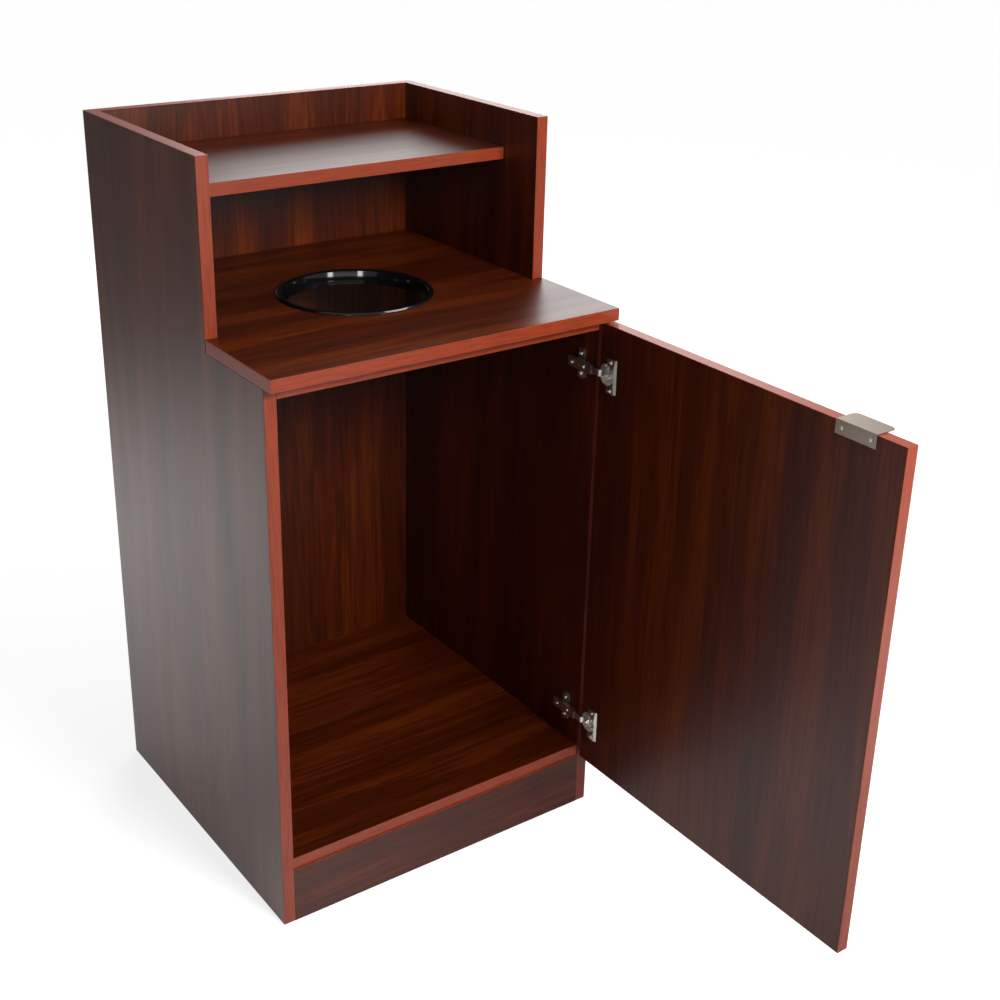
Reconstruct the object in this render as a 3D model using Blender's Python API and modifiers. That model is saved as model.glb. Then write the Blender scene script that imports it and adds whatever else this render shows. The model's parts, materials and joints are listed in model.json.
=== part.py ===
"""Waste receptacle enclosure: laminated cabinet, tray shelf, drop ring and a hinged door.

Metres, +Z up, the door faces -Y. The origin is on the floor under the middle of the toe kick.
The door is drawn closed about its hinge axis and its parent empty swings it open.
"""

import math

import bmesh
import bpy
from mathutils import Matrix, Vector

OBJECT_NAME = "waste_receptacle_enclosure"

# Carcass
WIDTH = 0.584
DEPTH = 0.559
HEIGHT = 1.143
BOARD = 0.019
COUNTER_TOP = 0.889
COUNTER_OVERHANG = 0.021
UPPER_DEPTH = 0.390
SHELF_DROP = 0.0595
SHELF_DEPTH = 0.305
FLOOR_TOP = 0.113
FLOOR_SETBACK = 0.0025
RAIL_DEPTH = 0.080
RAIL_BOARD = 0.017

# Glue lines and edge banding
GLUE = 0.0003
BAND = 0.0010

# Drop ring
RING_BACK = 0.2572
RING_OUTER = 0.1207
RING_INNER = 0.1107
RING_WALL = 0.0030
RING_FLARE = 0.0040
RING_LIP = 0.0032
RING_FIT = 0.0006
RING_SIDES = 48

# Door
DOOR_GAP = 0.0030
DOOR_REVEAL = 0.0020
DOOR_TOP_GAP = 0.0030
DOOR_BOTTOM = 0.096
DOOR_OPEN = math.radians(90.0)

# Edge pull
PULL_LENGTH = 0.067
PULL_FROM_EDGE = 0.047
PULL_SHEET = 0.0012
PULL_DROP = 0.0185
PULL_REACH = 0.0168
PULL_CORNER = 0.0080
PULL_SCREW_IN = 0.0100
PULL_SCREW_DOWN = 0.0085

# Concealed hinge: the knuckle axis sits inside the cup, measured from the door edge and inner face
HINGE_FROM_END = 0.0780
PIVOT_IN = 0.0078
PIVOT_DEEP = 0.0106
CUP_FROM_EDGE = 0.0205
CUP_RADIUS = 0.0174
CUP_WALL = 0.0010
CUP_RIM = 0.0012
CUP_RIM_SHEET = 0.0012
RIM_EASE = 0.0005
CUP_SIDES = 32
WING_SCREW_BACK = 0.0095
WING_SCREW_SPAN = 0.0450
WING_HEIGHT = 0.0550
WING_REACH = 0.0205
WING_SHEET = 0.0030
WING_LIP = 0.0006
WING_SLOPE = 0.0050
PIN_RADIUS = 0.0012
EYE_RADIUS = 0.0024
EYE_HALF = 0.0050
RUN_GAP = 0.0004
NECK_SHEET = 0.0018
NECK_BEND = 0.0040
ARM_OFF_SIDE = 0.0092
ARM_SHEET = 0.0022
ARM_HALF = 0.0080
ARM_CHEEK = 0.0014
ARM_START = 0.0040
ARM_END = 0.0600
PLATE_LINE = 0.0370
PLATE_SHEET = 0.0020
PLATE_SPAN = 0.0320
PLATE_HALF = 0.0255
PLATE_WING = 0.0140
ARM_SCREWS = (0.0230, 0.0500)
CHEEK_CLEAR = 0.0011
BLOCK_START = 0.0130
BLOCK_SHORT = 0.0010
PIN_SEAT = 0.0032
EYE_SIDES = 16
PLATE_CORNER = 0.0050
CORNER_STEPS = 4
BEND_STEPS = 5
OVERCUT = 0.0020
SKIM = 0.0001

# Dowels: distances of each pair from the front and from the back of its joint
DOWEL_RADIUS = 0.0040
DOWEL_IN_EDGE = 0.018
DOWEL_IN_FACE = 0.012
DOWEL_SPACE = 0.0010
FLOOR_DOWELS = (0.080, 0.110)
SHELF_DOWELS = (0.060, 0.080)
COUNTER_DOWELS = (0.055, 0.035)

# Screws: head radius, head height, shank radius, length under the head
PULL_SCREW = (0.0032, 0.0008, 0.0014, 0.0120)
CUP_SCREW = (0.0032, 0.0015, 0.0015, 0.0110)
PLATE_SCREW = (0.0034, 0.0018, 0.00175, 0.0140)
ARM_SCREW = (0.0031, 0.0016, 0.0020, 0.0060)
SCREW_LEAD = 0.0010
SCREW_TIP_SPACE = 0.0006
FIT = 0.0003
ROUND_SIDES = 12
SHARP_FROM = math.radians(40.0)

# Positions that follow from the sizes above
FRONT = -BOARD / 2
BACK = FRONT + DEPTH
INNER = WIDTH / 2 - BOARD
COUNTER_UNDER = COUNTER_TOP - BOARD
UPPER_FRONT = BACK - UPPER_DEPTH
SHELF_FRONT = BACK - SHELF_DEPTH
SHELF_TOP = HEIGHT - SHELF_DROP
BACK_FACE = BACK - BOARD
TRIM = BAND + GLUE
RING_Y = FRONT + RING_BACK
DOOR_TOP = COUNTER_UNDER - DOOR_TOP_GAP
DOOR_INNER = FRONT - DOOR_GAP
DOOR_OUTER = DOOR_INNER - BOARD
DOOR_HALF = WIDTH / 2 - DOOR_REVEAL
PIVOT = Vector((DOOR_HALF - PIVOT_IN, DOOR_INNER - PIVOT_DEEP, 0.0))
CUP_X = DOOR_HALF - CUP_FROM_EDGE
CUP_FLOOR = PIVOT.y - EYE_RADIUS - RUN_GAP
HINGE_LEVELS = {"upper": DOOR_TOP - HINGE_FROM_END, "lower": DOOR_BOTTOM + HINGE_FROM_END}

X_AXIS = Vector((1.0, 0.0, 0.0))
Y_AXIS = Vector((0.0, 1.0, 0.0))
Z_AXIS = Vector((0.0, 0.0, 1.0))
AXES = (X_AXIS, Y_AXIS, Z_AXIS)

# Turns that carry a flat drawing's own X and Y to (Y, Z), (X, Z) and (X, Y)
PLANES = (
    Matrix(((0, 0, 1, 0), (1, 0, 0, 0), (0, 1, 0, 0), (0, 0, 0, 1))),
    Matrix(((1, 0, 0, 0), (0, 0, -1, 0), (0, 1, 0, 0), (0, 0, 0, 1))),
    Matrix.Identity(4),
)


def new_collection(name, hidden):
    group = bpy.data.collections.new(name)
    bpy.context.scene.collection.children.link(group)
    group.hide_render = hidden
    return group


def principled(name, colour, roughness, metallic):
    mat = bpy.data.materials.new(name)
    mat.use_nodes = True
    shader = mat.node_tree.nodes["Principled BSDF"]
    shader.inputs["Base Color"].default_value = (*colour, 1.0)
    shader.inputs["Roughness"].default_value = roughness
    shader.inputs["Metallic"].default_value = metallic
    mat.diffuse_color = (*colour, 1.0)
    return mat


def finish(obj, mat, swings=None):
    """File an object with the parts, or with the cutters when it has no material."""
    obj.parent = swings
    if swings:
        obj.location = obj.location - PIVOT
    if mat is None:
        CUTTERS.objects.link(obj)
        obj.hide_render = True
        obj.display_type = "WIRE"
    else:
        PARTS.objects.link(obj)
        obj.data.materials.append(mat)
    return obj


def solid(name, bm, mat, swings=None, smooth=False):
    mesh = bpy.data.meshes.new(name)
    bm.to_mesh(mesh)
    bm.free()
    if smooth:
        mesh.shade_smooth()
        mesh.set_sharp_from_angle(angle=SHARP_FROM)
    return finish(bpy.data.objects.new(name, mesh), mat, swings)


def add_box(bm, low, high):
    low = Vector(low)
    high = Vector(high)
    place = Matrix.Translation((low + high) / 2) @ Matrix.Diagonal((*(high - low), 1.0))
    bmesh.ops.create_cube(bm, size=1.0, matrix=place)


def add_rod(bm, centre, axis, radius, length, sides=ROUND_SIDES):
    place = Matrix.Translation(centre) @ axis.to_track_quat("Z", "Y").to_matrix().to_4x4()
    bmesh.ops.create_cone(bm, cap_ends=True, segments=sides, radius1=radius, radius2=radius,
                          depth=length, matrix=place)


def board(name, low, high, mat, swings=None):
    bm = bmesh.new()
    add_box(bm, low, high)
    return solid(name, bm, mat, swings)


def rod(name, centre, axis, radius, length, mat, swings=None, sides=ROUND_SIDES):
    bm = bmesh.new()
    add_rod(bm, centre, axis, radius, length, sides)
    return solid(name, bm, mat, swings, smooth=True)


def outline(name, loops, axis, low, high, mat, swings=None, smooth=False):
    """Fill closed loops of (a, b) points and extrude them from low to high along the axis."""
    curve = bpy.data.curves.new(name, "CURVE")
    curve.dimensions = "2D"
    curve.fill_mode = "BOTH"
    curve.extrude = (high - low) / 2
    for loop in loops:
        spline = curve.splines.new("POLY")
        spline.points.add(len(loop) - 1)
        spline.use_cyclic_u = True
        for point, (across, along) in zip(spline.points, loop):
            point.co = (across, along, 0.0, 1.0)
    drawn = bpy.data.objects.new(name + "_outline", curve)
    bpy.context.scene.collection.objects.link(drawn)
    drawn.matrix_world = Matrix.Translation(AXES[axis] * (low + high) / 2) @ PLANES[axis]
    graph = bpy.context.evaluated_depsgraph_get()
    mesh = bpy.data.meshes.new_from_object(drawn.evaluated_get(graph))
    mesh.transform(drawn.matrix_world)
    bpy.data.objects.remove(drawn)
    bm = bmesh.new()
    bm.from_mesh(mesh)
    bpy.data.meshes.remove(mesh)
    bmesh.ops.remove_doubles(bm, verts=bm.verts, dist=0.00001)
    bmesh.ops.recalc_face_normals(bm, faces=bm.faces)
    return solid(name, bm, mat, swings, smooth)


def turned(name, profile, foot, axis, mat, swings=None, sides=ROUND_SIDES, ring=False):
    """Turn a profile of (radius, height) points, top to bottom, about an axis through foot."""
    mesh = bpy.data.meshes.new(name)
    edges = [(i, i + 1) for i in range(len(profile) - 1)]
    if ring:
        edges.append((len(profile) - 1, 0))
    mesh.from_pydata([(radius, 0.0, height) for radius, height in profile], edges, [])
    obj = bpy.data.objects.new(name, mesh)
    obj.location = foot
    obj.rotation_euler = axis.to_track_quat("Z", "Y").to_euler()
    spin = obj.modifiers.new("turn", "SCREW")
    spin.steps = sides
    spin.render_steps = sides
    spin.use_merge_vertices = True
    spin.merge_threshold = 0.00001
    spin.use_smooth_shade = True
    return finish(obj, mat, swings)


def arc(centre, radius, start, end, steps):
    points = []
    for step in range(steps + 1):
        angle = math.radians(start + (end - start) * step / steps)
        points.append((centre[0] + radius * math.cos(angle), centre[1] + radius * math.sin(angle)))
    return points


def rectangle(left, right, low, high):
    return [(left, low), (right, low), (right, high), (left, high)]


def rounded(left, right, low, high, corner, steps):
    """Outline of a rectangle with round corners."""
    points = arc((left + corner, low + corner), corner, 180.0, 270.0, steps)
    points += arc((right - corner, low + corner), corner, 270.0, 360.0, steps)
    points += arc((right - corner, high - corner), corner, 0.0, 90.0, steps)
    points += arc((left + corner, high - corner), corner, 90.0, 180.0, steps)
    return points


def combine(obj, other, operation="DIFFERENCE"):
    step = obj.modifiers.new(other.name, "BOOLEAN")
    step.operation = operation
    step.solver = "EXACT"
    step.object = other


def cut_holes(obj, holes, swings=None):
    """Cut round holes given as (centre, axis, radius, length, sides)."""
    bm = bmesh.new()
    for centre, axis, radius, length, sides in holes:
        add_rod(bm, centre, axis, radius, length, sides)
    combine(obj, solid("cut_" + obj.name, bm, None, swings))


def screw(name, foot, axis, sizes, mat, swings=None):
    """Pan-head screw whose head stands on foot; gives back the hole that it needs."""
    head, height, shank, length = sizes
    profile = [
        (0.0, height),
        (head * 0.72, height),
        (head, height * 0.45),
        (head, 0.0),
        (shank, 0.0),
        (shank, -length * 0.8),
        (shank * 0.4, -length),
        (0.0, -length),
    ]
    turned(name, profile, foot, axis, mat, swings)
    deep = SCREW_LEAD + length + SCREW_TIP_SPACE
    return (foot + axis * (SCREW_LEAD - deep / 2), axis, shank + FIT, deep, ROUND_SIDES)


for stale in list(bpy.data.objects):
    bpy.data.objects.remove(stale)

PARTS = new_collection(OBJECT_NAME, False)
CUTTERS = new_collection("cutters", True)

LAMINATE = principled("mahogany_laminate", (0.105, 0.022, 0.012), 0.42, 0.0)
EDGE = principled("edge_banding", (0.32, 0.075, 0.04), 0.45, 0.0)
PLASTIC = principled("black_gloss_plastic", (0.012, 0.012, 0.013), 0.22, 0.0)
NICKEL = principled("brushed_nickel", (0.62, 0.60, 0.57), 0.32, 1.0)
PLATED = principled("nickel_plated_steel", (0.66, 0.65, 0.63), 0.25, 1.0)
BEECH = principled("beech_dowel", (0.56, 0.36, 0.19), 0.7, 0.0)

door_pivot = bpy.data.objects.new("door_pivot", None)
door_pivot.location = PIVOT
door_pivot.rotation_euler = (0.0, 0.0, DOOR_OPEN)
PARTS.objects.link(door_pivot)


# Boards of the carcass; each banded edge stops short by the band and its glue line
SIDES = {}
for word, sign in (("left", -1.0), ("right", 1.0)):
    x_low = min(sign * INNER, sign * WIDTH / 2)
    x_high = x_low + BOARD
    SIDES[word] = outline(word + "_side_panel", [[
        (FRONT + TRIM, 0.0),
        (BACK, 0.0),
        (BACK, HEIGHT - TRIM),
        (UPPER_FRONT + TRIM, HEIGHT - TRIM),
        (UPPER_FRONT + TRIM, COUNTER_UNDER - GLUE),
        (FRONT + TRIM, COUNTER_UNDER - GLUE),
    ]], 0, x_low, x_high, LAMINATE)
    board(word + "_side_lower_band", (x_low, FRONT, GLUE),
          (x_high, FRONT + BAND, COUNTER_UNDER - GLUE), EDGE)
    outline(word + "_side_upper_band", [[
        (UPPER_FRONT, COUNTER_TOP + GLUE),
        (UPPER_FRONT + BAND, COUNTER_TOP + GLUE),
        (UPPER_FRONT + BAND, HEIGHT - BAND),
        (BACK, HEIGHT - BAND),
        (BACK, HEIGHT),
        (UPPER_FRONT, HEIGHT),
    ]], 0, x_low, x_high, EDGE)

SPAN = INNER - GLUE
board("back_panel", (-SPAN, BACK_FACE, 0.0), (SPAN, BACK, HEIGHT - TRIM), LAMINATE)
board("back_panel_band", (-SPAN, BACK_FACE, HEIGHT - BAND), (SPAN, BACK, HEIGHT), EDGE)

INSIDE_BACK = BACK_FACE - GLUE
tray_shelf = board("tray_shelf", (-SPAN, SHELF_FRONT + TRIM, SHELF_TOP - BOARD),
                   (SPAN, INSIDE_BACK, SHELF_TOP), LAMINATE)
board("tray_shelf_band", (-SPAN, SHELF_FRONT, SHELF_TOP - BOARD),
      (SPAN, SHELF_FRONT + BAND, SHELF_TOP), EDGE)

FLOOR_FRONT = FRONT + FLOOR_SETBACK
FLOOR_UNDER = FLOOR_TOP - BOARD
floor_panel = board("floor_panel", (-SPAN, FLOOR_FRONT + TRIM, FLOOR_UNDER),
                    (SPAN, INSIDE_BACK, FLOOR_TOP), LAMINATE)
board("floor_panel_band", (-SPAN, FLOOR_FRONT, FLOOR_UNDER), (SPAN, FLOOR_FRONT + BAND, FLOOR_TOP), EDGE)
KICK_TOP = FLOOR_UNDER - GLUE
board("toe_kick", (-SPAN, FRONT, 0.0), (SPAN, FRONT + BOARD, KICK_TOP - TRIM), LAMINATE)
board("toe_kick_band", (-SPAN, FRONT, KICK_TOP - BAND), (SPAN, FRONT + BOARD, KICK_TOP), EDGE)

RAIL_LOW = COUNTER_UNDER - GLUE - RAIL_BOARD
RAIL_HIGH = COUNTER_UNDER - GLUE
board("front_rail", (-SPAN, FRONT + TRIM, RAIL_LOW), (SPAN, FRONT + RAIL_DEPTH, RAIL_HIGH), LAMINATE)
board("front_rail_band", (-SPAN, FRONT, RAIL_LOW), (SPAN, FRONT + BAND, RAIL_HIGH), EDGE)
board("rear_rail", (-SPAN, INSIDE_BACK - RAIL_DEPTH, RAIL_LOW), (SPAN, INSIDE_BACK, RAIL_HIGH), LAMINATE)

# The counter caps the low front of the sides and runs back between their tall rear parts
COUNTER_FRONT = FRONT - COUNTER_OVERHANG
COUNTER_HALF = WIDTH / 2
STEP = UPPER_FRONT - GLUE
SLEEVE = RING_INNER + RING_WALL
drop_hole = arc((0.0, RING_Y), SLEEVE + RING_FIT, 0.0, 360.0, RING_SIDES)[:-1]
counter_top = outline("counter_top", [[
    (-COUNTER_HALF + TRIM, COUNTER_FRONT + TRIM),
    (COUNTER_HALF - TRIM, COUNTER_FRONT + TRIM),
    (COUNTER_HALF - TRIM, STEP),
    (SPAN, STEP),
    (SPAN, INSIDE_BACK),
    (-SPAN, INSIDE_BACK),
    (-SPAN, STEP),
    (-COUNTER_HALF + TRIM, STEP),
], drop_hole], 2, COUNTER_UNDER, COUNTER_TOP, LAMINATE)
outline("counter_top_band", [[
    (-COUNTER_HALF, STEP),
    (-COUNTER_HALF, COUNTER_FRONT),
    (COUNTER_HALF, COUNTER_FRONT),
    (COUNTER_HALF, STEP),
    (COUNTER_HALF - BAND, STEP),
    (COUNTER_HALF - BAND, COUNTER_FRONT + BAND),
    (-COUNTER_HALF + BAND, COUNTER_FRONT + BAND),
    (-COUNTER_HALF + BAND, STEP),
]], 2, COUNTER_UNDER, COUNTER_TOP, EDGE)

# Drop ring: a lip on the counter and a sleeve that lines the hole and narrows to its foot
SEAT = COUNTER_TOP + GLUE
turned("drop_ring", [
    (RING_INNER + RING_LIP * 0.7, SEAT + RING_LIP),
    (RING_OUTER - RING_LIP * 0.8, SEAT + RING_LIP),
    (RING_OUTER - RING_LIP * 0.2, SEAT + RING_LIP * 0.7),
    (RING_OUTER, SEAT + RING_LIP * 0.2),
    (RING_OUTER, SEAT),
    (SLEEVE, SEAT),
    (SLEEVE, COUNTER_UNDER),
    (RING_INNER - RING_FLARE, COUNTER_UNDER),
    (RING_INNER, SEAT + RING_LIP * 0.45),
    (RING_INNER + RING_LIP * 0.25, SEAT + RING_LIP * 0.85),
], Vector((0.0, RING_Y, 0.0)), Z_AXIS, PLASTIC, sides=RING_SIDES, ring=True)

# Door board and the band round its four edges
door_panel = board("door_panel", (-DOOR_HALF + TRIM, DOOR_OUTER, DOOR_BOTTOM + TRIM),
                   (DOOR_HALF - TRIM, DOOR_INNER, DOOR_TOP - TRIM), LAMINATE, door_pivot)
outline("door_band", [
    rectangle(-DOOR_HALF, DOOR_HALF, DOOR_BOTTOM, DOOR_TOP),
    rectangle(-DOOR_HALF + BAND, DOOR_HALF - BAND, DOOR_BOTTOM + BAND, DOOR_TOP - BAND),
], 1, DOOR_OUTER, DOOR_INNER, EDGE, door_pivot)

# Edge pull: a plate over the door's top edge with a flange screwed to the inner face
PULL_LEFT = -DOOR_HALF + PULL_FROM_EDGE
PULL_RIGHT = PULL_LEFT + PULL_LENGTH
PULL_INNER = DOOR_INNER + FIT
PULL_OUTER = DOOR_OUTER - PULL_REACH
PULL_UNDER = DOOR_TOP + FIT
PULL_FOLD = PULL_INNER + PULL_SHEET
cover = [(PULL_RIGHT, PULL_INNER + PULL_SHEET * 0.5), (PULL_LEFT, PULL_INNER + PULL_SHEET * 0.5)]
cover += arc((PULL_LEFT + PULL_CORNER, PULL_OUTER + PULL_CORNER), PULL_CORNER, 180.0, 270.0, BEND_STEPS)
cover += arc((PULL_RIGHT - PULL_CORNER, PULL_OUTER + PULL_CORNER), PULL_CORNER, 270.0, 360.0, BEND_STEPS)
door_pull = outline("door_pull", [cover], 2, PULL_UNDER, PULL_UNDER + PULL_SHEET, NICKEL, door_pivot)
flange = outline("join_door_pull", [[
    (PULL_INNER, DOOR_TOP - PULL_DROP),
    (PULL_FOLD, DOOR_TOP - PULL_DROP),
    (PULL_FOLD, PULL_UNDER + PULL_SHEET * 0.4),
    (PULL_FOLD - PULL_SHEET * 0.3, PULL_UNDER + PULL_SHEET * 0.9),
    (PULL_INNER, PULL_UNDER + PULL_SHEET * 0.9),
]], 0, PULL_LEFT, PULL_RIGHT, None, door_pivot)
combine(door_pull, flange, "UNION")
PULL_SCREW_Z = DOOR_TOP - PULL_SCREW_DOWN
PULL_SEAT = PULL_FOLD + FIT
pull_holes = []
for word, x in (("left", PULL_LEFT + PULL_SCREW_IN), ("right", PULL_RIGHT - PULL_SCREW_IN)):
    foot = Vector((x, PULL_SEAT, PULL_SCREW_Z))
    pull_holes.append(screw("door_pull_screw_" + word, foot, Y_AXIS, PULL_SCREW, PLATED, door_pivot))
cut_holes(door_pull, pull_holes, door_pivot)

# Glued dowels; each hole is cut through both of the boards that it joins
board_holes = {}


def dowel(name, point, into, edge_board, face_board):
    middle = Vector(point) + into * (DOWEL_IN_FACE - DOWEL_IN_EDGE) / 2
    length = DOWEL_IN_FACE + DOWEL_IN_EDGE
    rod(name, middle, into, DOWEL_RADIUS, length, BEECH)
    hole = (middle, into, DOWEL_RADIUS + FIT, length + 2 * DOWEL_SPACE, ROUND_SIDES)
    board_holes.setdefault(edge_board, []).append(hole)
    board_holes.setdefault(face_board, []).append(hole)


for word, sign in (("left", -1.0), ("right", 1.0)):
    outward = X_AXIS * sign
    for end, y in (("front", FRONT + FLOOR_DOWELS[0]), ("rear", BACK - FLOOR_DOWELS[1])):
        spot = (sign * INNER, y, FLOOR_TOP - BOARD / 2)
        dowel("floor_dowel_%s_%s" % (word, end), spot, outward, "floor", word)
    for end, y in (("front", SHELF_FRONT + SHELF_DOWELS[0]), ("rear", BACK - SHELF_DOWELS[1])):
        spot = (sign * INNER, y, SHELF_TOP - BOARD / 2)
        dowel("shelf_dowel_%s_%s" % (word, end), spot, outward, "shelf", word)
    for end, y in (("front", FRONT + COUNTER_DOWELS[0]), ("rear", UPPER_FRONT - COUNTER_DOWELS[1])):
        spot = (sign * (WIDTH - BOARD) / 2, y, COUNTER_UNDER)
        dowel("counter_dowel_%s_%s" % (word, end), spot, Z_AXIS, word, "counter")

# Hinges
door_holes = list(pull_holes)
WALL_SEAT = INNER - FIT
ARM_OUT = INNER - ARM_OFF_SIDE
ARM_IN = ARM_OUT + ARM_SHEET
PLATE_OUT = WALL_SEAT - PLATE_SHEET
CHEEK_FOOT = PLATE_OUT - CHEEK_CLEAR
RIM_LOW = DOOR_INNER + FIT
RIM_HIGH = RIM_LOW + CUP_RIM_SHEET
WING_TOP = RIM_LOW + WING_SHEET
WING_FAR = CUP_X - WING_REACH
CUP_BASE = CUP_FLOOR - CUP_WALL
CUP_MOUTH = RIM_HIGH + OVERCUT
EAR_LOW = EYE_HALF + RUN_GAP
PIN_HALF = EAR_LOW + PIN_SEAT
NECK_LOW = PIVOT.y - EYE_RADIUS + SKIM
NECK_HIGH = NECK_LOW + NECK_SHEET
NECK_OUT = ARM_OUT + 2 * SKIM
NECK_IN = NECK_OUT + NECK_SHEET
NECK_END = FRONT + ARM_START + OVERCUT
BEND = (NECK_IN + NECK_BEND, NECK_HIGH + NECK_BEND)
BLOCK_HALF = ARM_HALF - ARM_CHEEK - RUN_GAP
BLOCK_FRONT = FRONT + BLOCK_START
BLOCK_BACK = FRONT + ARM_END - BLOCK_SHORT
PLATE_Y = FRONT + PLATE_LINE
ENDS = (("low", -1.0), ("high", 1.0))

for word, level in HINGE_LEVELS.items():
    name = word + "_hinge_"
    cup_centre = Vector((CUP_X, 0.0, level))
    knuckle = Vector((PIVOT.x, PIVOT.y, level))
    pin_hole = (knuckle, Z_AXIS, PIN_RADIUS + FIT, 2 * PIN_HALF + 2 * FIT, ROUND_SIDES)

    # Cup: a turned body with a sloped screw plate, hollowed round the two ears that hold the pin
    cup = turned(name + "cup", [
        (0.0, RIM_HIGH),
        (CUP_RADIUS + CUP_RIM - RIM_EASE, RIM_HIGH),
        (CUP_RADIUS + CUP_RIM, RIM_HIGH - RIM_EASE),
        (CUP_RADIUS + CUP_RIM, RIM_LOW),
        (CUP_RADIUS, RIM_LOW),
        (CUP_RADIUS, CUP_BASE),
        (0.0, CUP_BASE),
    ], cup_centre, Y_AXIS, PLATED, door_pivot, CUP_SIDES)
    wings = outline("join_" + name + "cup", [[
        (CUP_X, RIM_LOW + SKIM),
        (CUP_X, WING_TOP),
        (WING_FAR + WING_SLOPE, WING_TOP),
        (WING_FAR, RIM_LOW + WING_LIP),
        (WING_FAR, RIM_LOW + SKIM),
    ]], 2, level - WING_HEIGHT / 2, level + WING_HEIGHT / 2, None, door_pivot)
    combine(cup, wings, "UNION")
    hollow = rod("hollow_" + name + "cup", Vector((CUP_X, (CUP_FLOOR + CUP_MOUTH) / 2, level)), Y_AXIS,
                 CUP_RADIUS - CUP_WALL, CUP_MOUTH - CUP_FLOOR, None, door_pivot, CUP_SIDES)
    bm = bmesh.new()
    for _, side in ENDS:
        spans = sorted((level + side * EAR_LOW, level + side * 2 * CUP_RADIUS))
        add_box(bm, (PIVOT.x - EYE_RADIUS, CUP_FLOOR - OVERCUT, spans[0]),
                (PIVOT.x + CUP_RADIUS, PIVOT.y + EYE_RADIUS, spans[1]))
    combine(hollow, solid("ears_" + name + "cup", bm, None, door_pivot))
    combine(cup, hollow)
    wing_holes = []
    for end, side in ENDS:
        foot = Vector((CUP_X - WING_SCREW_BACK, WING_TOP + FIT, level + side * WING_SCREW_SPAN / 2))
        wing_holes.append(screw(name + "cup_screw_" + end, foot, Y_AXIS, CUP_SCREW, PLATED, door_pivot))
    cut_holes(cup, [pin_hole] + wing_holes, door_pivot)
    bore_low = CUP_BASE - FIT
    bore = Vector((CUP_X, (bore_low + CUP_MOUTH) / 2, level))
    door_holes.append((bore, Y_AXIS, CUP_RADIUS + FIT, CUP_MOUTH - bore_low, CUP_SIDES))
    door_holes.extend(wing_holes)
    rod(name + "pin", knuckle, Z_AXIS, PIN_RADIUS, 2 * PIN_HALF, PLATED, door_pivot)

    # Arm: a channel along the side panel with a goose neck that reaches into the cup
    neck = [(PIVOT.x, NECK_LOW), (PIVOT.x, NECK_HIGH)]
    neck += arc(BEND, NECK_BEND, 270.0, 180.0, BEND_STEPS)
    neck += [(NECK_IN, NECK_END), (NECK_OUT, NECK_END)]
    neck += arc(BEND, NECK_BEND + NECK_SHEET, 180.0, 270.0, BEND_STEPS)
    arm = outline(name + "arm", [neck], 2, level - EYE_HALF, level + EYE_HALF, PLATED, smooth=True)
    channel = outline("join_" + name + "arm", [[
        (ARM_OUT, level - ARM_HALF),
        (CHEEK_FOOT, level - ARM_HALF),
        (CHEEK_FOOT, level - ARM_HALF + ARM_CHEEK),
        (ARM_IN, level - ARM_HALF + ARM_CHEEK),
        (ARM_IN, level + ARM_HALF - ARM_CHEEK),
        (CHEEK_FOOT, level + ARM_HALF - ARM_CHEEK),
        (CHEEK_FOOT, level + ARM_HALF),
        (ARM_OUT, level + ARM_HALF),
    ]], 1, FRONT + ARM_START, FRONT + ARM_END, None)
    combine(arm, channel, "UNION")
    eye_length = 2 * (EYE_HALF - SKIM)
    eye = rod("eye_" + name + "arm", knuckle, Z_AXIS, EYE_RADIUS, eye_length, None, sides=EYE_SIDES)
    combine(arm, eye, "UNION")
    arm_holes = []
    for end, along in zip(("front", "rear"), ARM_SCREWS):
        foot = Vector((ARM_OUT - FIT, FRONT + along, level))
        arm_holes.append(screw(name + "arm_screw_" + end, foot, -X_AXIS, ARM_SCREW, PLATED))
    cut_holes(arm, [pin_hole] + arm_holes)

    # Mounting plate: two screw wings on the side panel and a block inside the arm's channel
    wings = rounded(PLATE_Y - PLATE_WING / 2, PLATE_Y + PLATE_WING / 2,
                    level - PLATE_HALF, level + PLATE_HALF, PLATE_CORNER, CORNER_STEPS)
    plate = outline(name + "mounting_plate", [wings], 0, PLATE_OUT, WALL_SEAT, PLATED)
    block = board("join_" + name + "mounting_plate", (ARM_IN + RUN_GAP, BLOCK_FRONT, level - BLOCK_HALF),
                  (WALL_SEAT - SKIM, BLOCK_BACK, level + BLOCK_HALF), None)
    combine(plate, block, "UNION")
    plate_holes = []
    for end, side in ENDS:
        foot = Vector((PLATE_OUT - FIT, PLATE_Y, level + side * PLATE_SPAN / 2))
        plate_holes.append(screw(name + "plate_screw_" + end, foot, -X_AXIS, PLATE_SCREW, PLATED))
    cut_holes(plate, plate_holes + arm_holes)
    board_holes["right"].extend(plate_holes)

cut_holes(door_panel, door_holes, door_pivot)
for key, panel in (("left", SIDES["left"]), ("right", SIDES["right"]), ("counter", counter_top),
                   ("shelf", tray_shelf), ("floor", floor_panel)):
    cut_holes(panel, board_holes[key])
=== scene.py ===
"""Looks of a waste receptacle enclosure: laminate boards, edge banding, drop ring, pull and hinges.

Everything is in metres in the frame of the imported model. The door rests open at a right angle.
"""

import json
import math

import bmesh
import bpy
from bpy.props import FloatProperty, FloatVectorProperty, IntProperty, PointerProperty
from mathutils import Matrix, Vector

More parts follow.
